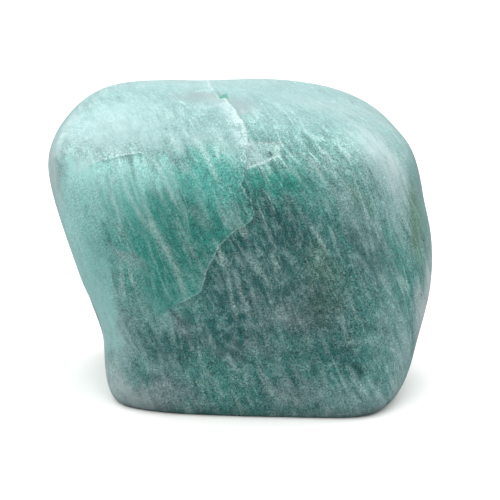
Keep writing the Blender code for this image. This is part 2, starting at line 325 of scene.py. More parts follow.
# the stone's markings, worked out at its points and read by the material as attributes
markings = {
    # albite streaks: x and z + y of one end, then of the other, half width, strength (below zero
    # for a dark seam)
    "streaks": [
        (-6.7, 11.7, -4.4, 6.1, 0.19, 0.9),
        (-5.9, 11.2, -4.5, 8.0, 0.22, 0.8),
        (-3.6, 13.9, -2.4, 10.8, 0.26, 0.8),
        (-2.6, 11.3, -1.8, 8.7, 0.23, 1.0),
        (-5.6, 14.6, -4.5, 11.6, 0.26, 0.7),
        (-9.9, 9.2, -8.5, 4.3, 0.17, 0.9),
        (-8.9, 9.6, -6.9, 5.0, 0.17, 0.9),
        (-7.7, 8.6, -6.3, 5.1, 0.20, 0.7),
        (-6.9, 6.2, -4.9, 2.2, 0.32, 0.9),
        (-5.1, 2.9, -3.9, -0.9, 0.28, 0.8),
        (-10.5, 10.6, -10.0, 8.5, 0.18, 0.4),
        (-9.7, 10.1, -9.4, 9.1, 0.18, 0.7),
        (-2.0, 14.6, -0.7, 10.2, 0.22, 0.6),
        (-6.6, 23.1, -5.9, 19.9, 0.14, 0.3),
        (-10.7, 19.7, -9.6, 16.5, 0.14, 0.3),
        (-4.3, 4.9, -3.7, 3.6, 0.23, 0.5),
        (-4.0, 7.0, -2.2, 4.8, 0.44, 0.45),
        (-7.3, 11.4, -6.8, 10.3, 0.23, 0.4),
        (-7.5, 7.3, -6.7, 5.9, 0.14, 0.3),
        (3.7, 10.0, 4.3, 8.3, 0.14, 0.5),
        (4.7, 11.4, 6.4, 7.7, 0.18, 0.7),
        (5.9, 12.4, 6.7, 10.3, 0.14, 0.6),
        (7.3, 10.7, 7.8, 9.6, 0.14, 0.5),
        (6.8, 14.5, 7.3, 11.7, 0.18, 0.4),
        (6.9, 8.0, 8.0, 5.9, 0.18, 0.6),
        (7.9, 6.1, 9.5, 3.6, 0.20, 0.6),
        (4.8, 5.6, 6.5, 2.6, 0.20, 0.7),
        (7.8, 10.3, 8.4, 9.1, 0.18, 0.5),
        (4.1, 13.6, 4.6, 11.9, 0.18, 0.3),
        (1.4, 9.6, 2.1, 8.0, 0.12, 0.35),
        (2.4, 10.6, 3.1, 8.9, 0.12, 0.35),
        (1.4, 5.8, 2.5, 3.0, 0.16, 0.5),
        (8.9, 18.0, 9.6, 17.3, 0.14, 0.6),
        (7.4, 15.6, 8.2, 14.6, 0.27, 0.5),
        (3.9, 6.7, 4.8, 5.0, 0.18, 0.3),
        (2.9, 8.0, 3.6, 6.3, 0.14, 0.3),
        (-9.6, 4.2, -7.2, 2.1, 0.46, 0.55),
        (-1.5, 3.4, -1.0, 2.3, 0.12, 0.7),
        (-0.8, 2.5, 0.6, -1.9, 0.24, 0.85),
        (-1.3, 2.6, -0.4, -2.2, 0.20, 0.75),
        (-0.6, 3.2, 0.2, 1.8, 0.20, 0.6),
        (-4.6, 2.2, -3.3, 1.4, 0.27, 0.35),
        (-2.2, 0.3, -1.7, -0.7, 0.11, 0.5),
        (-3.8, 3.9, -3.5, 3.0, 0.16, 0.4),
        (0.1, 3.4, 1.4, 1.4, 0.40, 0.75),
        (1.0, 2.1, 2.1, 0.4, 0.20, 0.6),
        (2.0, 3.7, 2.6, 0.5, 0.18, 0.6),
        (0.9, 3.6, 1.6, 2.9, 0.18, 0.6),
        (-1.8, -3.2, 1.0, -5.0, 0.18, 0.35),
        (-1.3, -4.3, -0.3, -5.9, 0.23, 0.6),
        (0.0, -5.0, 0.4, -7.6, 0.18, 0.4),
        (1.7, -3.3, 2.2, -4.4, 0.18, 0.4),
        (-5.4, -1.5, -5.1, -3.4, 0.18, 0.4),
        (-5.4, -3.9, -4.6, -5.6, 0.27, 0.5),
        (-6.7, -6.5, -5.4, -6.4, 0.23, 0.4),
        (-4.8, -2.1, -4.1, -2.7, 0.27, 0.6),
        (-8.5, 0.3, -7.6, -2.0, 0.32, 0.4),
        (-9.3, -1.2, -9.0, -3.0, 0.23, 0.4),
        (-3.1, -1.5, -2.1, -3.6, 0.18, 0.35),
        (-2.4, -5.7, -1.5, -7.7, 0.18, 0.35),
        (7.4, 0.7, 8.7, -2.5, 0.14, 0.55),
        (10.0, 2.5, 11.1, 1.8, 0.41, 0.55),
        (10.3, 5.0, 11.3, 4.4, 0.36, 0.5),
        (7.9, 3.4, 9.6, 2.1, 0.27, 0.5),
        (2.9, 3.6, 4.6, 0.8, 0.24, 0.35),
        (5.2, 3.0, 6.3, 1.7, 0.23, 0.45),
        (6.8, -4.0, 11.0, -3.0, 0.30, 0.45),
        (7.6, -5.5, 8.0, -5.9, 0.23, 0.6),
        (7.9, -6.2, 8.6, -7.4, 0.23, 0.4),
        (10.5, -3.2, 12.7, -2.9, 0.18, 0.4),
        (2.1, -5.1, 3.8, -7.6, 0.50, 0.4),
        (4.7, -3.2, 5.2, -4.5, 0.23, 0.35),
        (9.0, 5.3, 10.0, 4.3, 0.23, 0.4),
        (11.7, 4.5, 12.2, 1.8, 0.23, 0.4),
        (10.2, 0.3, 11.2, -1.2, 0.32, 0.3),
        (1.5, -6.5, 2.0, -8.2, 0.18, 0.3),
        (5.9, -6.3, 6.6, -8.2, 0.18, 0.3),
        (-4.8, 19.3, -3.9, 17.3, 0.14, 0.8),
        (-3.7, 21.0, -2.4, 22.0, 0.11, 0.8),
        (1.85, 11.95, 2.15, 11.25, 0.10, -1.4),
        (-5.5, -0.6, -3.7, -2.7, 0.23, -0.9),
        (-4.6, -3.7, -4.4, -5.7, 0.23, -0.6),
        (-1.1, -4.2, 0.7, -5.1, 0.36, -0.6),
        (-7.7, -5.4, -6.1, -5.9, 0.27, -0.5),
        (5.1, 0.1, 6.3, -1.2, 0.41, -0.6),
        (8.4, -5.2, 8.9, -7.1, 0.23, -0.7),
        (7.0, -4.4, 8.6, -4.9, 0.32, -0.5),
        (3.3, -5.5, 4.0, -7.3, 0.23, -0.5),
        (5.2, -5.2, 5.7, -7.0, 0.23, -0.5),
    ],
    # patches seen from in front and above: tint, x, z + y, half length, half width, turn, strength, and
    # 1 where it stops at the crack's lower right side, -1 at its upper left side, 0 at neither.
    # In a "flecked" patch the albite is broken up into flecks
    "patches": [
        # the two frost patches make the top paler: partly the stone's own milky colour, partly a painted
        # sheen of the light overhead, reaching lower on the left
        ("frost", 0.0, 21.8, 17.0, 8.4, 0, 0.95, 0),
        ("frost", -4.2, 13.8, 7.0, 1.9, -4, 0.75, -1),
        ("milk", -10.6, 15.5, 4.6, 4.2, 30, 0.80, 0),
        ("milk", -6.4, -0.4, 2.6, 1.6, -60, 0.45, 0),
        ("mint", -11.6, 9.6, 2.4, 2.2, 0, 0.95, 0),
        ("milk", 10.2, 12.8, 5.0, 2.8, -62, 0.70, 0),
        ("milk", 11.4, 7.4, 2.4, 1.2, -75, 0.40, 0),
        ("milk", 4.6, 8.8, 2.2, 1.0, -62, 0.30, 1),
        ("milk", 9.4, 4.4, 4.2, 1.6, -75, 0.45, 0),
        ("milk", 6.9, 8.6, 2.8, 1.3, -68, 0.40, 0),
        ("milk", 10.8, -4.4, 3.0, 1.6, -75, 0.25, 0),
        ("milk", -12.2, 11.2, 1.8, 1.3, 0, 0.60, 0),
        ("milk", -11.0, 0.9, 3.2, 0.9, -68, 0.50, 0),
        ("milk", -6.2, -4.6, 1.5, 0.9, -60, 0.45, 0),
        ("milk", 2.5, -4.5, 1.2, 0.7, -50, 0.35, 0),
        ("milk", -1.9, -3.0, 1.4, 0.8, -60, 0.45, 0),
        ("milk", -8.8, -7.4, 1.8, 0.9, 0, 0.35, 0),
        ("milk", -2.9, 1.3, 1.8, 0.8, 50, 0.45, -1),
        ("milk", -10.2, 3.8, 2.2, 1.0, -60, 0.35, 0),
        ("milk", -8.0, -3.0, 1.5, 0.9, -70, 0.35, 0),
        ("milk", -0.4, -3.0, 1.3, 0.7, -60, 0.30, 0),
        ("milk", 8.6, 3.9, 1.7, 0.9, -70, 0.30, 0),
        ("leaf", -3.6, 8.8, 2.6, 1.4, -20, 0.80, -1),
        ("leaf", -1.8, 7.4, 1.8, 1.4, -30, 0.80, -1),
        ("milk", 12.4, -2.6, 3.6, 1.2, -82, 0.62, 0),
        ("milk", -9.2, -2.2, 2.8, 1.2, -80, 0.75, 0),
        ("mint", -10.0, 8.4, 3.6, 2.4, -15, 0.90, 0),
        ("mint", -7.2, 9.4, 2.6, 1.6, -20, 0.80, -1),
        ("mint", -5.4, 9.2, 3.0, 1.8, -50, 0.40, -1),
        ("mint", -12.0, 5.0, 4.6, 1.6, -70, 0.95, 0),
        ("mint", -10.8, 0.4, 3.6, 1.0, -66, 0.85, 0),
        ("leaf", -2.0, 10.2, 3.2, 2.2, -4, 0.70, -1),
        ("leaf", -8.2, 4.0, 5.0, 3.2, -60, 0.50, 0),
        ("leaf", -7.2, 6.0, 2.8, 2.0, -50, 0.80, 0),
        ("green", -3.8, 5.2, 3.6, 2.2, -40, 0.88, -1),
        ("green", -7.4, 5.0, 2.2, 1.2, -60, 0.40, 0),
        ("green", -5.0, 1.0, 4.4, 2.0, -60, 0.92, -1),
        ("green", 2.5, 8.7, 3.1, 1.7, -8, 0.92, 1),
        ("green", -1.2, 5.6, 1.9, 1.3, 30, 0.60, -1),
        ("green", 11.4, 4.6, 1.1, 2.6, 0, 0.50, 0),
        ("deep", 2.7, 5.3, 3.4, 1.3, -8, 0.80, 1),
        ("deep", 0.4, 3.0, 4.0, 1.6, 40, 0.90, 1),
        ("deep", 0.4, -4.2, 3.8, 1.7, 0, 0.25, 1),
        ("deep", 6.8, -5.2, 2.6, 1.7, 0, 0.70, 0),
        ("deep", 2.6, -6.6, 2.0, 1.2, 0, 0.55, 0),
        ("deep", 3.6, 2.8, 3.4, 1.6, 0, 0.75, 1),
        ("deep", -5.4, -3.2, 2.8, 1.6, 0, 0.85, 0),
        ("deep", -1.6, -2.4, 2.4, 1.6, 0, 0.80, 0),
        ("deep", -0.2, -0.4, 4.4, 2.4, -66, 0.97, 1),
        ("deep", 1.8, 3.9, 3.0, 1.2, 0, 0.70, 1),
        ("deep", 9.2, 3.4, 2.0, 2.6, 0, 0.75, 0),
        ("deep", 1.0, 1.4, 2.6, 1.3, -66, 0.60, 1),
        ("slate", 3.4, 0.4, 3.4, 1.6, -60, 0.60, 1),
        ("slate", 4.2, 1.6, 3.4, 2.8, -20, 0.85, 1),
        ("ash", 5.4, -1.6, 3.0, 2.2, -10, 0.85, 0),
        ("olive", 6.3, 1.6, 2.4, 1.3, -60, 0.60, 0),
        ("olive", 5.9, -1.4, 1.0, 0.6, 60, 0.55, 0),
        ("olive", 8.5, 7.6, 1.4, 0.8, -60, 0.45, 0),
        # a painted glow of light along the upper right edge
        ("rim", 10.6, 13.4, 3.0, 1.6, -66, 0.45, 0),
        ("rose", -2.8, 19.4, 2.2, 1.3, 0, 0.85, 0),
        ("rose", 0.1, 18.2, 1.1, 1.7, 0, 0.85, 0),
        ("rose", -4.4, -2.3, 1.4, 0.8, -50, 0.50, 0),
        ("rose", -8.0, -7.2, 4.6, 1.8, -4, 0.90, 0),
        ("rose", 3.8, -7.6, 2.4, 1.1, 0, 0.55, 0),
        ("rose", 2.6, -1.6, 2.2, 1.4, 0, 0.45, 0),
        ("rose", -0.6, -3.8, 3.0, 1.0, 0, 0.30, 0),
        ("milk", 8.8, -8.0, 4.2, 1.2, 8, 0.45, 0),
        ("rose", -8.4, 3.4, 1.8, 0.5, -42, 0.40, 0),
        ("flecked", 2.0, -3.6, 13.0, 5.4, 0, 1.0, 0),
        ("flecked", 5.0, 2.0, 5.0, 4.0, -60, 0.6, 0),
    ],
    # patches on the sides, the back and the underside: tint, x, y, z, reach along each, strength
    "sidePatches": [
        ("moss", 13.0, -4.6, 14.4, 1.1, 1.6, 3.0, 0.90),
        # the rim patches paint a pale glow of light along the side edges and along the foot, where the
        # floor's shade falls
        ("rim", 15.0, -2.4, 9.8, 1.1, 2.0, 4.4, 0.70),
        ("rose", 14.8, 2.6, 11.5, 2.6, 3.6, 8.0, 0.85),
        ("rim", 14.2, -3.0, 6.4, 1.5, 3.4, 4.4, 0.90),
        ("milk", 12.0, -7.6, 0.8, 3.0, 2.6, 1.8, 0.80),
        ("rim", -15.0, -5.0, 17.6, 1.9, 3.6, 3.6, 0.70),
        ("rim", -11.6, -5.0, 4.0, 1.3, 3.4, 3.6, 0.65),
        ("rim", -10.4, -7.6, 1.0, 3.6, 3.2, 2.4, 0.85),
        ("rim", 7.0, -9.0, 0.0, 6.0, 2.4, 0.8, 0.25),
        ("green", -6.0, 9.6, 13.0, 5.0, 3.0, 3.4, 0.70),
        ("milk", 6.5, 9.8, 16.0, 4.6, 3.0, 3.2, 0.70),
        ("deep", 2.0, 10.0, 7.5, 5.5, 3.0, 2.6, 0.60),
        ("mint", -9.0, 7.5, 19.0, 4.0, 4.0, 3.0, 0.60),
        ("slate", 9.5, 9.5, 8.5, 3.2, 3.0, 3.4, 0.60),
        ("rose", -4.0, 8.5, 3.0, 4.5, 3.0, 2.0, 0.60),
        ("slate", 1.0, 0.0, -0.5, 7.0, 4.5, 2.0, 0.50),
        ("milk", -7.0, 2.0, -0.5, 3.0, 4.0, 2.0, 0.50),
    ],
    # a streak runs on past each end by this share of its length, and fades in and out over these shares
    "streakPast": 0.08,
    "streakStart": 0.3,
    "streakEnd": 0.4,
    "streakReach": 3.5,          # half widths from its middle line where it is gone,
    "streakSoft": 1.5,           # and the half widths over which it goes
    "streakSets": 3,             # neighbours in the list of streaks go to different sets
    "patchStop": 0.2,            # width of a patch's edge where it stops at the crack
    "fingers": 1.1,              # how far a patch's edge is drawn out along the sheets, in mm
    "fingerCell": (0.55, 2.0, 6.0),
    "fingerFine": 0.4,           # size of the finer fingers, beside the first ones
    "fingerSeeds": (43, 44),
    "fingerWay": (0.45, -0.89),  # down the sheets, seen from in front and above
    "waverCell": 1.7,            # the patches' outlines waver, and the streaks by a share of that
    "waver": 0.45,
    "waverSeeds": (41, 42),
    "streakWaver": 0.2,
    # the albite sheets: ways across, through and along them, as shares of x, y and z
    "sheetWays": ((0.90, 0.40, 0.33), (0.41, -0.91, 0.0), (-0.29, -0.13, 0.95)),
    "sheetFan": 0.008,           # how they turn towards the stone's right
    "bendCell": 4.2,
    "bend": 0.45,
    "bendSeed": 45,
    "sheetNormal": (0.86, 0.39, 0.32),
    "flatCut": (0.58, 0.28),     # how squarely faced the sheets start to fade, and over how much
    "showFrom": 8.0,             # z - lean * y where the markings fade in from the back,
    "showOver": 4.0,             # and the length over which they do
    "showLean": 1.3,
    "breaksFrom": 0.02,          # a break's colours start where this share of it does
    "far": 5.0,                  # distances past this are all the same
}


# how far across, through and along the albite sheets each point is, in mm. Seen from the front they
# run down to the right, 74 degrees from level on the stone's left and 63 on its right:
# across = 0.90x + 0.40y + 0.33z + 0.008x(z + y), and a noise bends them by 5 degrees, at most 16
def sheetPlaces(points):
    places = points - np.array((0.0, 0.0, stone["middle"][2]))
    lie = places @ np.array(markings["sheetWays"]).T
    lie[:, 0] += markings["sheetFan"] * places[:, 0] * (places[:, 2] + places[:, 1])
    lie[:, 0] += markings["bend"] * latticeNoise(points, markings["bendCell"], markings["bendSeed"])
    return lie


# for each point the streak that shows most there: signed distance to its middle line, its strength,
# thinned towards both ends and gone 3.5 half widths away, and its half width. The material draws
# s * e^(-(d/w)^2) from these, so a streak stays sharper than the mesh
def streakField(pairs, streaks):
    past, start, end = (markings[name] for name in ("streakPast", "streakStart", "streakEnd"))
    reach, soft = markings["streakReach"], markings["streakSoft"]
    # where there is none: far off, no strength, any width
    found = np.tile((1.0, 0.0, 0.2), (len(pairs), 1))
    most = np.zeros(len(pairs))
    for x0, v0, x1, v1, width, strength in streaks:
        along = np.array((x1 - x0, v1 - v0))
        length = np.linalg.norm(along)
        offset = pairs - np.array((x0, v0))
        run = offset @ along / length**2
        side = (along[0] * offset[:, 1] - along[1] * offset[:, 0]) / length
        taper = softStep((run + past) / start) * softStep((1.0 + past - run) / end)
        here = taper * softStep((reach - np.abs(side) / width) / soft)
        shows = here * np.exp(-(side / (2.0 * width)) ** 2)
        better = shows > most
        most = np.where(better, shows, most)
        drawn = np.stack([side, strength * here, np.full(len(pairs), width)], axis=1)
        found = np.where(better[:, None], drawn, found)
    found[:, 0] = np.clip(found[:, 0], -1.0, 1.0)
    return found


# each patch is s * e^(-r^3) of an ellipse's radius r, so it has a level middle, and on the sides
# s * e^(-r^4); where patches of one tint overlap, what is left of the stone's own colour is multiplied
def patchField(pairs, places, share, crackSide, tint):
    left = np.ones(len(pairs))
    for name, x, v, length, width, turn, strength, side in markings["patches"]:
        if name == tint:
            angle = math.radians(turn)
            offset = pairs - np.array((x, v))
            along = offset @ np.array((math.cos(angle), math.sin(angle))) / length
            across = offset @ np.array((-math.sin(angle), math.cos(angle))) / width
            here = strength * share * np.exp(-((along**2 + across**2) ** 1.5))
            stop = side * crackSide / markings["patchStop"]
            left *= 1.0 - here * softStep(stop + (1.0 if side == 0 else 0.5))
    for name, x, y, z, reachX, reachY, reachZ, strength in markings["sidePatches"]:
        if name == tint:
            apart = (places - np.array((x, y, z))) / np.array((reachX, reachY, reachZ))
            left *= 1.0 - strength * np.exp(-((apart**2).sum(axis=1) ** 2))
    return 1.0 - left


# one value, or three, for each point of the mesh, under a name that the material reads
def giveField(mesh, name, values):
    kind = "FLOAT_VECTOR" if np.ndim(values) == 2 else "FLOAT"
    field = mesh.attributes.new(name, kind, "POINT")
    values = np.ascontiguousarray(values, np.float32)
    field.data.foreach_set("vector" if values.ndim == 2 else "value", values.ravel())


# the lines of the breaks waver by a fraction of a millimetre, and the patches' edges are drawn out
# into fingers along the sheets. The sheets' stripes fade as 1 - softStep((f - from) / over) of f, how
# squarely the surface faces them, because there one sheet is cut flat and would show as rings
def giveMarkings(mesh, whole):
    pairs, share = fromFrontAndAbove(whole)
    ragged = raggedPairs(whole)
    crackSide, crackRun = lineDistance(ragged, broken["crack"])
    flakeSide, flakeRun = lineDistance(ragged, broken["flake"])
    giveField(mesh, "crackRun", crackRun)
    giveField(mesh, "flakeRun", flakeRun)
    far = markings["far"]
    seen = share > markings["breaksFrom"]
    for name, distance, unseen in (("crackSide", crackSide, far), ("flakeSide", flakeSide, far),
                                   ("chipInside", insideOutline(pairs, ragged, "chip"), -far),
                                   ("windowInside", insideOutline(pairs, ragged, "window"), -far)):
        giveField(mesh, name, np.where(seen, np.clip(distance, -far, far), unseen))

    lie = sheetPlaces(whole)
    giveField(mesh, "sheetPlace", lie)
    normals = np.empty(3 * len(whole))
    mesh.vertices.foreach_get("normal", normals)
    facing = np.abs(normals.reshape(-1, 3) @ np.array(markings["sheetNormal"]))
    start, over = markings["flatCut"]
    giveField(mesh, "cutAcross", 1.0 - softStep((facing - start) / over))

    cell = markings["waverCell"]
    wavy = np.stack([latticeNoise(whole, cell, seed) for seed in markings["waverSeeds"]], axis=1)
    wavy = markings["waver"] * wavy
    leaned = whole[:, 2] - markings["showLean"] * whole[:, 1]
    marked = softStep((leaned - markings["showFrom"]) / markings["showOver"])
    for i in range(markings["streakSets"]):
        streaks = markings["streaks"][i::markings["streakSets"]]
        drawn = streakField(pairs + markings["streakWaver"] * wavy, streaks)
        drawn[:, 1] *= marked
        giveField(mesh, f"streaks{i}", drawn)

    fingerPlaces = lie / np.array(markings["fingerCell"])
    fingers = np.zeros(len(whole))
    for size, seed in zip((1.0, markings["fingerFine"]), markings["fingerSeeds"]):
        fingers += markings["fingers"] * latticeNoise(fingerPlaces, size, seed)
    right, down = markings["fingerWay"]
    drawn = pairs + fingers[:, None] * np.array((right, down)) + wavy
    places = whole + fingers[:, None] * np.array((right, 0.0, down))
    for tint in look["tints"]:
        giveField(mesh, tint + "Tint", patchField(drawn, places, marked, crackSide, tint))
    giveField(mesh, "flecked", patchField(drawn, places, marked, crackSide, "flecked"))


# each corner of the net goes out to the whole surface, then along the same way by what is broken off
# and by the polish's unevenness, and all under the floor is cut away
def makeStone():
    ways, quads = boxNet(stone["cells"], stone["halfBox"])
    whole = wholeStone(ways)
    height = brokenHeight(whole)
    for i, (size, rise) in enumerate(stone["polishWaves"]):
        height += rise * latticeNoise(whole, size, stone["polishSeed"] + i)
    points = restOnFoot(whole + ways * height[:, None])
    # the same box as the solid's: its middle over the origin
    cadMiddle = (np.array(cadBox[0]) + np.array(cadBox[1])) / 2.0 / mm
    shift = cadMiddle - (points.min(axis=0) + points.max(axis=0)) / 2.0
    points += np.array((shift[0], shift[1], 0.0))

    mesh = bpy.data.meshes.new("amazoniteStone")
    mesh.from_pydata((points * mm).tolist(), [], quads.tolist())
    mesh.update()
    mesh.shade_smooth()
    giveMarkings(mesh, whole)
    piece = bpy.data.objects.new("amazoniteStone", mesh)
    bpy.context.scene.collection.objects.link(piece)
    return piece


# Tumble-polished amazonite: green-blue microcline that grew with thin white albite sheets in it.
# The tumbling gives the eye a soft, slightly uneven shine, the sheets give it slanting pale
# streaks, and light goes a little way in, so that no edge in it is quite sharp
look = {
    "body": "#478882",
    "tints": {
        # frost: milky colour together with a painted sheen of the overhead light
        "frost": "#84aaaa",
        "milk": "#a0c0c0",
        "mint": "#a4dad5",
        "leaf": "#58b0a6",
        "green": "#288c80",
        "deep": "#185f5f",
        "slate": "#356b69",
        "ash": "#466765",
        "olive": "#557f6e",
        "moss": "#4f8069",
        "rose": "#84989a",
        # rim: a painted glow of light along the edges and the foot
        "rim": "#b8cbcb",
    },
    "pale": "#bfdcd8",           # albite, in the streaks and flecks
    "seam": "#245450",           # the gaps between the sheets, where light goes in
    # veil: the crack's milky veil, also the colour of the painted highlights on the crack's brink and on
    # the flake
    "veil": "#c0d6d6",
    "plateEdge": "#62aea4",
    # the painted shade beside the crack, where it steps down
    "crackPaintedShade": "#2a5f59",
    "frosting": "#a9c4c2",
    "pit": "#3f8f7c",
    "ior": 1.53,                 # microcline, 1.52 to 1.53
    "chipRoughness": 0.25,       # how much rougher the open chip is
    "bumpMm": 0.05,
    "bumpStrength": 0.25,
    "bumpGrain": 0.15,           # share of the grain beside the mottling
    "lightInside": 0.3,
    "lightDepthMm": 0.5,
    "lightSpread": (0.5, 1.0, 0.9),
    # noises: cell size in mm across, through and along the sheets, or one size for all three axes of
    # the stone; then detail, roughness and how far it is distorted
    "alongSheets": {
        "sheets": ((0.45, 2.0, 4.5), 2.0, 0.50, 0.25),
        "fibres": ((0.24, 0.8, 1.3), 2.0, 0.60, 0.40),
        "flecks": ((0.55, 0.8, 0.9), 3.0, 0.62, 1.30),
    },
    "allRound": {
        "groups": (3.2, 2.0, 0.50, 0.0),
        "clouds": (2.2, 4.0, 0.60, 0.3),
        "mottle": (0.85, 5.0, 0.62, 0.2),
        "grain": (0.11, 1.0, 0.60, 0.0),    # crystal grain, drawn a little coarser than it is
    },
    "fray": 0.35,                # how far mottling and fibres move a patch's edge
    "frayFull": 0.25,            # share of a tint from which its edge is moved in full
    "tintCover": (0.05, 0.90, 0.95),     # shares where a tint starts and is full, and what it covers
    # how much of the fine sheets, the clouds, the mottling and the grain each tint hides
    "hidesGrain": {"frost": 0.75, "milk": 0.6, "mint": 0.6, "leaf": 0.25, "green": 0.25, "rim": 0.7,
                   "rose": 0.3},
    "smoother": 0.45,            # how much of the last three the chip and the albite hide
    "clearLeast": 0.1,           # share of the sheets that shows through the milkiest places
    "lighter": {"clouds": 0.7, "mottle": 0.55, "grain": 3.2},    # how much each makes lighter and darker
    "seamStrength": -0.7,
    "wallEdge": 0.05,            # mm over which a broken edge begins
    # the crack's brink is partly a painted highlight
    "crackBrink": (-0.50, -0.10, 0.90),  # mm from the crack where its brink starts and is full; share
    "window": (-0.12, 0.06, 0.90),
    "windowFray": 0.5,
    # what each follows, where it starts and is full, and its values there. Sides are in mm from the
    # line, and runs are shares of its length
    "softRamps": {
        "groups": ("groups", 0.36, 0.60, 0.25, 1.0),
        "fibres": ("fibres", 0.49, 0.64, 0.0, 0.24),
        "sheets": ("sheets", 0.54, 0.63, 0.0, 0.44),
        "gaps": ("sheets", 0.43, 0.35, 0.0, 0.45),
        "sugar": ("grain", 0.42, 0.60, 0.25, 1.0),
        "cloudy": ("mottle", 0.36, 0.60, 0.35, 1.0),
        # crackWall carries the veil over the step's wall higher up, painting light over the wall's shade
        "crackWall": ("crackRun", 0.42, 0.52, 0.14, 0.0),
        "crackReach": ("crackSide", -1.3, -0.3, 0.0, 0.62),
        "crackWidens": ("crackRun", 0.10, 0.28, 0.15, 1.0),
        "crackFades": ("crackRun", 0.42, 0.60, 0.85, 0.25),
        "crackEnds": ("crackRun", 0.95, 1.0, 1.0, 0.0),
        "plateBegins": ("crackRun", 0.46, 0.60, 0.0, 1.0),
        "plateLine": ("crackSide", -0.16, -0.04, 0.0, 0.40),
        "pastCrack": ("crackSide", -0.04, 0.04, 0.0, 1.0),
        "lowerShade": ("crackSide", 0.50, 0.04, 0.0, 0.40),
        "lowerRun": ("crackRun", 0.57, 0.62, 0.0, 1.0),
        "upperShade": ("crackSide", 0.24, 0.08, 0.0, 0.50),
        "upperRun": ("crackRun", 0.44, 0.38, 0.0, 1.0),
        # a painted sheen above the flake and a painted highlight on its brink
        "flakeReach": ("flakeSide", -1.6, -0.1, 0.0, 0.30),
        "flakeBrink": ("flakeSide", -0.26, -0.08, 0.0, 0.40),
        "flakeBegins": ("flakeRun", 0.0, 0.35, 0.0, 1.0),
        "chip": ("chipInside", -0.12, 0.25, 0.0, 1.0),
        "chipGrains": ("grain", 0.40, 0.66, 0.55, 0.90),
        "chipFloor": ("chipInside", 0.15, 0.60, 1.0, 0.50),
    },
    "straightRamps": {
        "paleMottle": ("mottle", 0.52, 0.75, 0.0, 0.26),
        "seamMottle": ("mottle", 0.48, 0.25, 0.0, 0.30),
        "paleFlecks": ("flecks", 0.52, 0.70, 0.0, 0.25),
        "seamFlecks": ("flecks", 0.48, 0.28, 0.0, 0.38),
        "flecked": ("flecked", 0.0, 1.0, 0.25, 1.0),
        "unbroken": ("flecked", 0.0, 1.0, 1.0, 0.35),
        "striped": ("cutAcross", 0.0, 1.0, 0.2, 1.0),
        "patchy": ("flecks", 0.3, 0.7, 0.32, 0.65),
        "stray": ("mottle", 0.2, 0.8, -0.05, 0.05),
        "roughness": ("mottle", 0.3, 0.7, 0.27, 0.40),      # around 0.32, a tumbled polish
    },
}


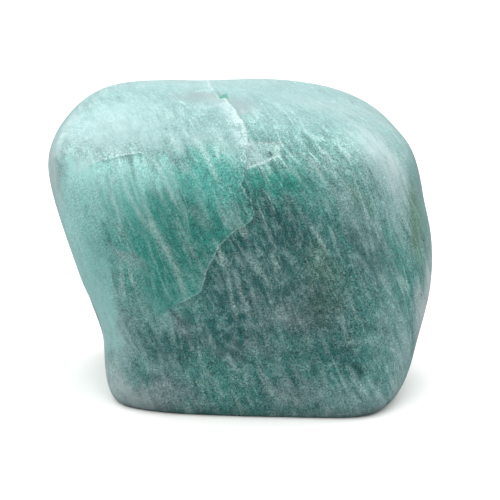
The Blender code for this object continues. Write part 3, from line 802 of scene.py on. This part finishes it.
# layers of colour, each with its share, are mixed in order over the body colour; then clouds,
# mottling and crystal grain make the whole lighter and darker
def makeMaterial():
    material = bpy.data.materials.new("tumblePolishedAmazonite")
    material.use_nodes = True
    add = nodeAdder(material.node_tree)
    times, plus, minus, over, power, timesPlus = (
        {"operation": name}
        for name in ("MULTIPLY", "ADD", "SUBTRACT", "DIVIDE", "EXPONENT", "MULTIPLY_ADD"))
    product, total, highest, held = (
        {"operation": name, "use_clamp": True} for name in ("MULTIPLY", "ADD", "MAXIMUM", "MULTIPLY_ADD"))
    blend = {"data_type": "RGBA"}    # its inputs 0, 6 and 7 are the share and the two colours
    soft = {"interpolation_type": "SMOOTHSTEP"}

    source = {}
    lie = add("Attribute", {"attribute_name": "sheetPlace"}).outputs["Vector"]
    for name, (cell, detail, rough, warp) in look["alongSheets"].items():
        place = add("VectorMath", over, {0: lie, 1: cell})
        source[name] = add("TexNoise", {}, {"Vector": place, "Scale": 1.0, "Detail": detail,
                                            "Roughness": rough, "Distortion": warp})
    place = add("TexCoord").outputs["Object"]
    for name, (cell, detail, rough, warp) in look["allRound"].items():
        source[name] = add("TexNoise", {}, {"Vector": place, "Scale": 1.0 / (cell * mm), "Detail": detail,
                                            "Roughness": rough, "Distortion": warp})
    for name in ("crackSide", "crackRun", "flakeSide", "flakeRun", "chipInside", "windowInside",
                 "flecked", "cutAcross"):
        source[name] = add("Attribute", {"attribute_name": name}).outputs["Fac"]
    for name in look["tints"]:
        source[name] = add("Attribute", {"attribute_name": name + "Tint"}).outputs["Fac"]
    ramp = {}
    for kind, ramps in (("SMOOTHSTEP", look["softRamps"]), ("LINEAR", look["straightRamps"])):
        for name, (follows, start, full, atStart, atFull) in ramps.items():
            ramp[name] = add("MapRange", {"interpolation_type": kind},
                             {"Value": source[follows], "From Min": start, "From Max": full,
                              "To Min": atStart, "To Max": atFull})

    # how much of the grain shows: less where the stone is milky
    grainy = 1.0
    for name, share in look["hidesGrain"].items():
        grainy = add("Math", held, {0: source[name], 1: -share, 2: grainy})

    # the body's patches, whose edges the mottling and the fibres fray
    layers = []
    fray = add("Math", plus, {0: source["mottle"], 1: source["fibres"]})
    fray = add("MapRange", {"clamp": False}, {"Value": fray, "From Min": 0.0, "From Max": 2.0,
                                              "To Min": -look["fray"], "To Max": look["fray"]})
    start, full, most = look["tintCover"]
    for name, tint in look["tints"].items():
        edge = add("MapRange", {}, {"Value": source[name], "From Max": look["frayFull"]})
        frayed = add("Math", timesPlus, {0: edge, 1: fray, 2: source[name]})
        share = add("MapRange", {}, {"Value": frayed, "From Min": start, "From Max": full, "To Max": most})
        layers.append((share, linear(tint)))

    # flecks of albite where the sheets are broken up, most of them low on the front
    for name, paint in (("paleMottle", "pale"), ("seamMottle", "seam"),
                        ("paleFlecks", "pale"), ("seamFlecks", "seam")):
        share = add("Math", product, {0: ramp[name], 1: ramp["flecked"]})
        layers.append((share, linear(look[paint])))

    # albite: broad sheets in groups, fine fibres, and the listed streaks
    unbroken = add("Math", product, {0: ramp["unbroken"], 1: ramp["striped"]})
    sheets = add("Math", product, {0: ramp["sheets"], 1: ramp["groups"]})
    sheets = add("Math", product, {0: sheets, 1: unbroken})
    fibres = add("Math", product, {0: ramp["fibres"], 1: unbroken})
    albite = add("Math", total, {0: sheets, 1: fibres})
    least = look["clearLeast"]
    clear = add("Math", timesPlus, {0: grainy, 1: 1.0 - least, 2: least})
    albite = add("Math", product, {0: albite, 1: clear})
    streaks = 0.0
    for i in range(markings["streakSets"]):
        parts = add("Attribute", {"attribute_name": f"streaks{i}"}).outputs["Vector"]
        parts = add("SeparateXYZ", {}, {"Vector": parts}).outputs
        apart = add("Math", plus, {0: parts["X"], 1: ramp["stray"]})
        apart = add("Math", over, {0: apart, 1: parts["Z"]})
        apart = add("Math", times, {0: apart, 1: apart})
        apart = add("Math", times, {0: apart, 1: -1.0})
        drawn = add("Math", power, {0: apart})
        streaks = add("Math", timesPlus, {0: drawn, 1: parts["Y"], 2: streaks})
    drawn = add("Math", product, {0: streaks, 1: ramp["patchy"]})
    albite = add("Math", highest, {0: albite, 1: drawn})
    gaps = ramp["gaps"]
    for part in (ramp["groups"], unbroken, clear):
        gaps = add("Math", product, {0: gaps, 1: part})
    layers += [(gaps, linear(look["seam"])), (albite, linear(look["pale"]))]

    # the crack: a milky veil along its upper left side with a sugary brink that is partly a painted
    # highlight, which turns into the plate's clearer edge and a thin pale line lower down. Higher up
    # the veil is carried over the step's wall, where it paints light over the wall's shade
    behind = add("Math", minus, {0: source["crackSide"], 1: ramp["crackWall"]})
    left = add("MapRange", {}, {"Value": behind, "From Min": 0.0, "From Max": -look["wallEdge"]})
    start, full, most = look["crackBrink"]
    brink = add("MapRange", soft, {"Value": behind, "From Min": start, "From Max": full, "To Max": most})
    brink = add("Math", product, {0: brink, 1: ramp["sugar"]})
    reach = add("Math", product, {0: ramp["crackReach"], 1: ramp["crackWidens"]})
    veil = add("Math", total, {0: reach, 1: brink})
    for part in (left, ramp["cloudy"], ramp["crackFades"], ramp["crackEnds"]):
        veil = add("Math", product, {0: veil, 1: part})
    paint = add("Mix", blend, {0: ramp["plateBegins"], 6: linear(look["veil"]),
                               7: linear(look["plateEdge"])})
    layers.append((veil, paint))
    line = ramp["plateLine"]
    for part in (left, ramp["plateBegins"], ramp["crackEnds"]):
        line = add("Math", product, {0: line, 1: part})
    layers.append((line, linear(look["veil"])))

    # a thin painted shade on the crack's other side, the one that steps down, above the chip and again
    # below it
    shade = ramp["lowerShade"]
    for part in (ramp["pastCrack"], ramp["lowerRun"], ramp["crackEnds"]):
        shade = add("Math", product, {0: shade, 1: part})
    layers.append((shade, linear(look["crackPaintedShade"])))
    shade = ramp["upperShade"]
    for part in (ramp["pastCrack"], ramp["upperRun"], ramp["crackWidens"], ramp["cloudy"]):
        shade = add("Math", product, {0: shade, 1: part})
    layers.append((shade, linear(look["crackPaintedShade"])))

    # the flake's edge: a painted sheen, paler above it, with a thin painted highlight along its brink
    above = add("MapRange", {}, {"Value": source["flakeSide"], "From Min": 0.0,
                                 "From Max": -look["wallEdge"]})
    brink = add("Math", product, {0: ramp["flakeBrink"], 1: ramp["sugar"]})
    bright = add("Math", total, {0: ramp["flakeReach"], 1: brink})
    for part in (above, ramp["flakeBegins"]):
        bright = add("Math", product, {0: bright, 1: part})
    layers.append((bright, linear(look["veil"])))

    # the open chip: frosted and pale, with brighter crystal grains
    frosted = add("Math", product, {0: ramp["chip"], 1: ramp["chipGrains"]})
    frosted = add("Math", product, {0: frosted, 1: ramp["chipFloor"]})
    layers.append((frosted, linear(look["frosting"])))

    # a clear green window in the pit by the crack
    start, full, most = look["window"]
    pit = add("Math", timesPlus, {0: fray, 1: look["windowFray"], 2: source["windowInside"]})
    pit = add("MapRange", soft, {"Value": pit, "From Min": start, "From Max": full, "To Max": most})
    layers.append((pit, linear(look["pit"])))

    seams = add("Math", product, {0: streaks, 1: look["seamStrength"]})
    layers.append((seams, linear(look["seam"])))

    colour = linear(look["body"])
    for share, paint in layers:
        colour = add("Mix", blend, {0: share, 6: colour, 7: paint})

    # each noise less a half, times its own depth, makes the colour lighter and darker
    for part in (ramp["chip"], albite):
        smoother = add("Math", timesPlus, {0: part, 1: -look["smoother"], 2: 1.0})
        grainy = add("Math", product, {0: grainy, 1: smoother})
    light = 1.0
    for name, depth in look["lighter"].items():
        swing = add("Math", minus, {0: source[name], 1: 0.5})
        swing = add("Math", times, {0: swing, 1: depth})
        swing = add("Math", times, {0: swing, 1: grainy})
        light = add("Math", plus, {0: light, 1: swing})
    colour = add("VectorMath", {"operation": "SCALE"}, {0: colour, "Scale": light})

    rough = add("Math", timesPlus, {0: ramp["chip"], 1: look["chipRoughness"], 2: ramp["roughness"]})
    height = add("Math", timesPlus, {0: source["grain"], 1: look["bumpGrain"], 2: source["mottle"]})
    bump = add("Bump", {}, {"Height": height, "Strength": look["bumpStrength"],
                            "Distance": look["bumpMm"] * mm})
    shader = add("BsdfPrincipled", {"subsurface_method": "RANDOM_WALK"},
                 {"Base Color": colour, "Roughness": rough, "IOR": look["ior"], "Normal": bump,
                  "Subsurface Weight": look["lightInside"], "Subsurface Radius": look["lightSpread"],
                  "Subsurface Scale": look["lightDepthMm"] * mm})
    add("OutputMaterial", {}, {"Surface": shader})
    return material


studio = {
    "cameraRise": 16.0,          # degrees above level
    "cameraDistanceMm": 150.0,
    "mmPerPixel": 0.0785,        # at the stone's middle, so the stone is 382 px of 500 wide
    "picturePixels": 500.0,
    "sensorMm": 36.0,
    "aimRightMm": 1.06,
    "aimDownMm": 0.35,
    "floorHalfSide": 3.0,        # metres, as is the next one
    "clipStart": 0.01,
    "floor": "#f4f4f2",
    "floorBounce": "#808284",    # what the floor sends back to the stone
    "low": 0.42,                 # light from near the horizon on the viewer's side
    # more light from the left, the right and behind: axis, where it starts and is full, how much
    "sides": [("X", -0.2, -0.9, 1.5), ("X", 0.2, 0.9, 0.8), ("Y", 0.0, 0.7, 0.75)],
    "over": 3.3,                 # the soft box overhead, a round patch of the sky
    "overLean": 6.0,             # degrees towards the viewer
    "overFull": 30.0,            # degrees from its middle where it is still full, and where it ends
    "overEnd": 55.0,
}


# a square at z = 0. The camera sees it pale, and the stone gets less light back from it
def makeFloor():
    side = studio["floorHalfSide"]
    corners = [(-side, -side, 0), (side, -side, 0), (side, side, 0), (-side, side, 0)]
    mesh = bpy.data.meshes.new("studioFloor")
    mesh.from_pydata(corners, [], [(0, 1, 2, 3)])
    floor = bpy.data.objects.new("studioFloor", mesh)
    bpy.context.scene.collection.objects.link(floor)
    material = bpy.data.materials.new("paleFloor")
    material.use_nodes = True
    add = nodeAdder(material.node_tree)
    seen = add("LightPath").outputs["Is Camera Ray"]
    shade = add("Mix", {"data_type": "RGBA"}, {"Factor": seen, 6: linear(studio["floorBounce"]),
                                               7: linear(studio["floor"])})
    surface = add("BsdfDiffuse", {}, {"Color": shade})
    add("OutputMaterial", {}, {"Surface": surface})
    mesh.materials.append(material)


# light by direction: the horizon's share changes softly with x and y, and the soft box overhead
# takes its place within overEnd degrees of its own middle. To the camera it is even, of strength 1
def makeSurroundings():
    world = bpy.data.worlds.new("softStudio")
    world.use_nodes = True
    add = nodeAdder(world.node_tree)
    soft = {"interpolation_type": "SMOOTHSTEP"}
    number = {"data_type": "FLOAT"}
    way = add("TexCoord").outputs["Generated"]
    parts = add("SeparateXYZ", {}, {"Vector": way}).outputs
    light = studio["low"]
    for axis, start, full, most in studio["sides"]:
        share = add("MapRange", soft, {"Value": parts[axis], "From Min": start, "From Max": full,
                                       "To Max": most})
        light = add("Math", {"operation": "ADD"}, {0: light, 1: share})
    lean = math.radians(studio["overLean"])
    middle = (0.0, -math.sin(lean), math.cos(lean))
    near = add("VectorMath", {"operation": "DOT_PRODUCT"}, {0: way, 1: middle}).outputs["Value"]
    full, end = (math.cos(math.radians(studio[name])) for name in ("overFull", "overEnd"))
    box = add("MapRange", soft, {"Value": near, "From Min": end, "From Max": full})
    light = add("Mix", number, {"Factor": box, "A": light, "B": studio["over"]})
    seen = add("LightPath").outputs["Is Camera Ray"]
    light = add("Mix", number, {"Factor": seen, "A": light, "B": 1.0})
    glow = add("Background", {}, {"Strength": light})
    add("OutputWorld", {}, {"Surface": glow})
    bpy.context.scene.world = world


# the camera looks down by its rise at a point beside the stone's middle, which sits a little left
# of and above the middle of the picture. The lens is sensor * distance / width of what it sees there
def makeCamera():
    rise = math.radians(studio["cameraRise"])
    back = np.array((0.0, -math.cos(rise), math.sin(rise)))
    up = np.array((0.0, math.sin(rise), math.cos(rise)))
    aim = np.array(stone["middle"]) + np.array((studio["aimRightMm"], 0.0, 0.0)) - up * studio["aimDownMm"]
    seenMm = studio["picturePixels"] * studio["mmPerPixel"]
    data = bpy.data.cameras.new("camera")
    data.sensor_width = studio["sensorMm"]
    data.lens = studio["sensorMm"] * studio["cameraDistanceMm"] / seenMm
    data.clip_start = studio["clipStart"]
    camera = bpy.data.objects.new("camera", data)
    camera.location = (aim + back * studio["cameraDistanceMm"]) * mm
    camera.rotation_euler = (math.radians(90.0) - rise, 0.0, 0.0)
    bpy.context.scene.collection.objects.link(camera)
    bpy.context.scene.camera = camera


makeCamera()
makeFloor()
makeSurroundings()
bpy.context.scene.view_settings.view_transform = "Standard"
print("camera, floor and light made")

stonePiece = makeStone()
stonePiece.data.materials.append(makeMaterial())
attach(stonePiece, "root")
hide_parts("amazonite")
print("stone made:", len(stonePiece.data.polygons) * 2, "triangles")
